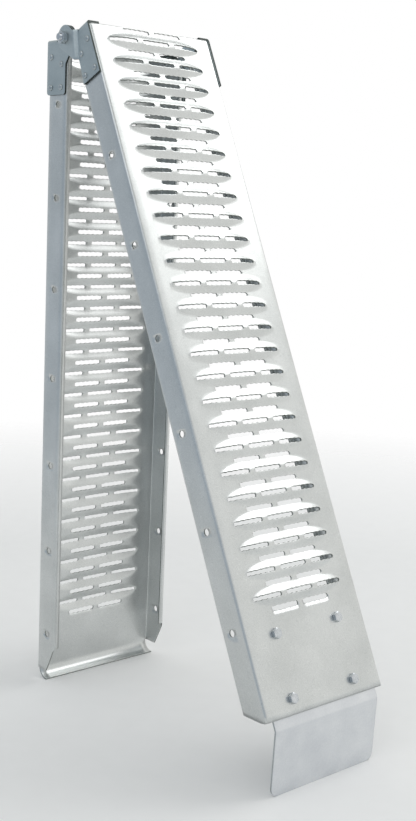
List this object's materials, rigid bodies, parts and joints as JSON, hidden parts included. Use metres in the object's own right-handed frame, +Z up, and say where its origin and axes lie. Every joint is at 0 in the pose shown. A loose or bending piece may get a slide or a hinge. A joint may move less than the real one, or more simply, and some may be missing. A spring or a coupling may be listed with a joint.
{
  "type": "folding loading ramp",
  "caption": "Centre-fold ramp of pressed galvanised steel: two treaded channel halves hinged at the top, a bolted tongue on one end and a curled foot on the other.",
  "frame": {"origin": "on the floor under the middle of the half-open ramp's bounding box", "axes": "+Z up, +X across the ramp to the right as seen from the front, +Y from the upper half's treaded face towards the lower half"},
  "size_m": [0.2654, 0.5426, 1.0213],
  "materials": {
    "galvanised_sheet": "hot-dip galvanised sheet, semi-gloss, faint spangle",
    "bracket_plate": "zinc-plated plate, satin, with dark cut edges",
    "tongue_plate": "zinc-plated plate, pale satin",
    "rivet_zinc": "zinc-plated, semi-gloss",
    "bolt_zinc": "bright zinc-plated"
  },
  "bodies": {
    "lower_half": {"lower_section": "galvanised_sheet", "lower_bracket_left": "bracket_plate", "lower_bracket_right": "bracket_plate", "lower_rivet_1_left": "rivet_zinc", "lower_rivet_1_right": "rivet_zinc", "lower_rivet_2_left": "rivet_zinc", "lower_rivet_2_right": "rivet_zinc", "lower_rivet_3_left": "rivet_zinc", "lower_rivet_3_right": "rivet_zinc", "lower_rivet_4_left": "rivet_zinc", "lower_rivet_4_right": "rivet_zinc", "pivot_bolt_left": "bolt_zinc", "pivot_bolt_right": "bolt_zinc", "pivot_washer_left": "bolt_zinc", "pivot_washer_right": "bolt_zinc", "pivot_nut_left": "bolt_zinc", "pivot_nut_right": "bolt_zinc"},
    "upper_half": {"upper_section": "galvanised_sheet", "tongue_plate": "tongue_plate", "tongue_bolt_1": "bolt_zinc", "tongue_washer_1": "bolt_zinc", "tongue_nut_1": "bolt_zinc", "tongue_bolt_2": "bolt_zinc", "tongue_washer_2": "bolt_zinc", "tongue_nut_2": "bolt_zinc", "tongue_bolt_3": "bolt_zinc", "tongue_washer_3": "bolt_zinc", "tongue_nut_3": "bolt_zinc", "tongue_bolt_4": "bolt_zinc", "tongue_washer_4": "bolt_zinc", "tongue_nut_4": "bolt_zinc", "upper_bracket_right": "bracket_plate", "upper_bracket_left": "bracket_plate", "upper_rivet_1_right": "rivet_zinc", "upper_rivet_1_left": "rivet_zinc", "upper_rivet_2_right": "rivet_zinc", "upper_rivet_2_left": "rivet_zinc", "upper_rivet_3_right": "rivet_zinc", "upper_rivet_3_left": "rivet_zinc", "upper_rivet_4_right": "rivet_zinc", "upper_rivet_4_left": "rivet_zinc"}
  },
  "joints": [
    {"name": "fold", "type": "hinge", "parent": "lower_half", "child": "upper_half", "pos_m": [0, 0.20708, 0.99969], "axis": [-1, 0, 0], "range_deg": [-25.57, 154.43]}
  ]
}
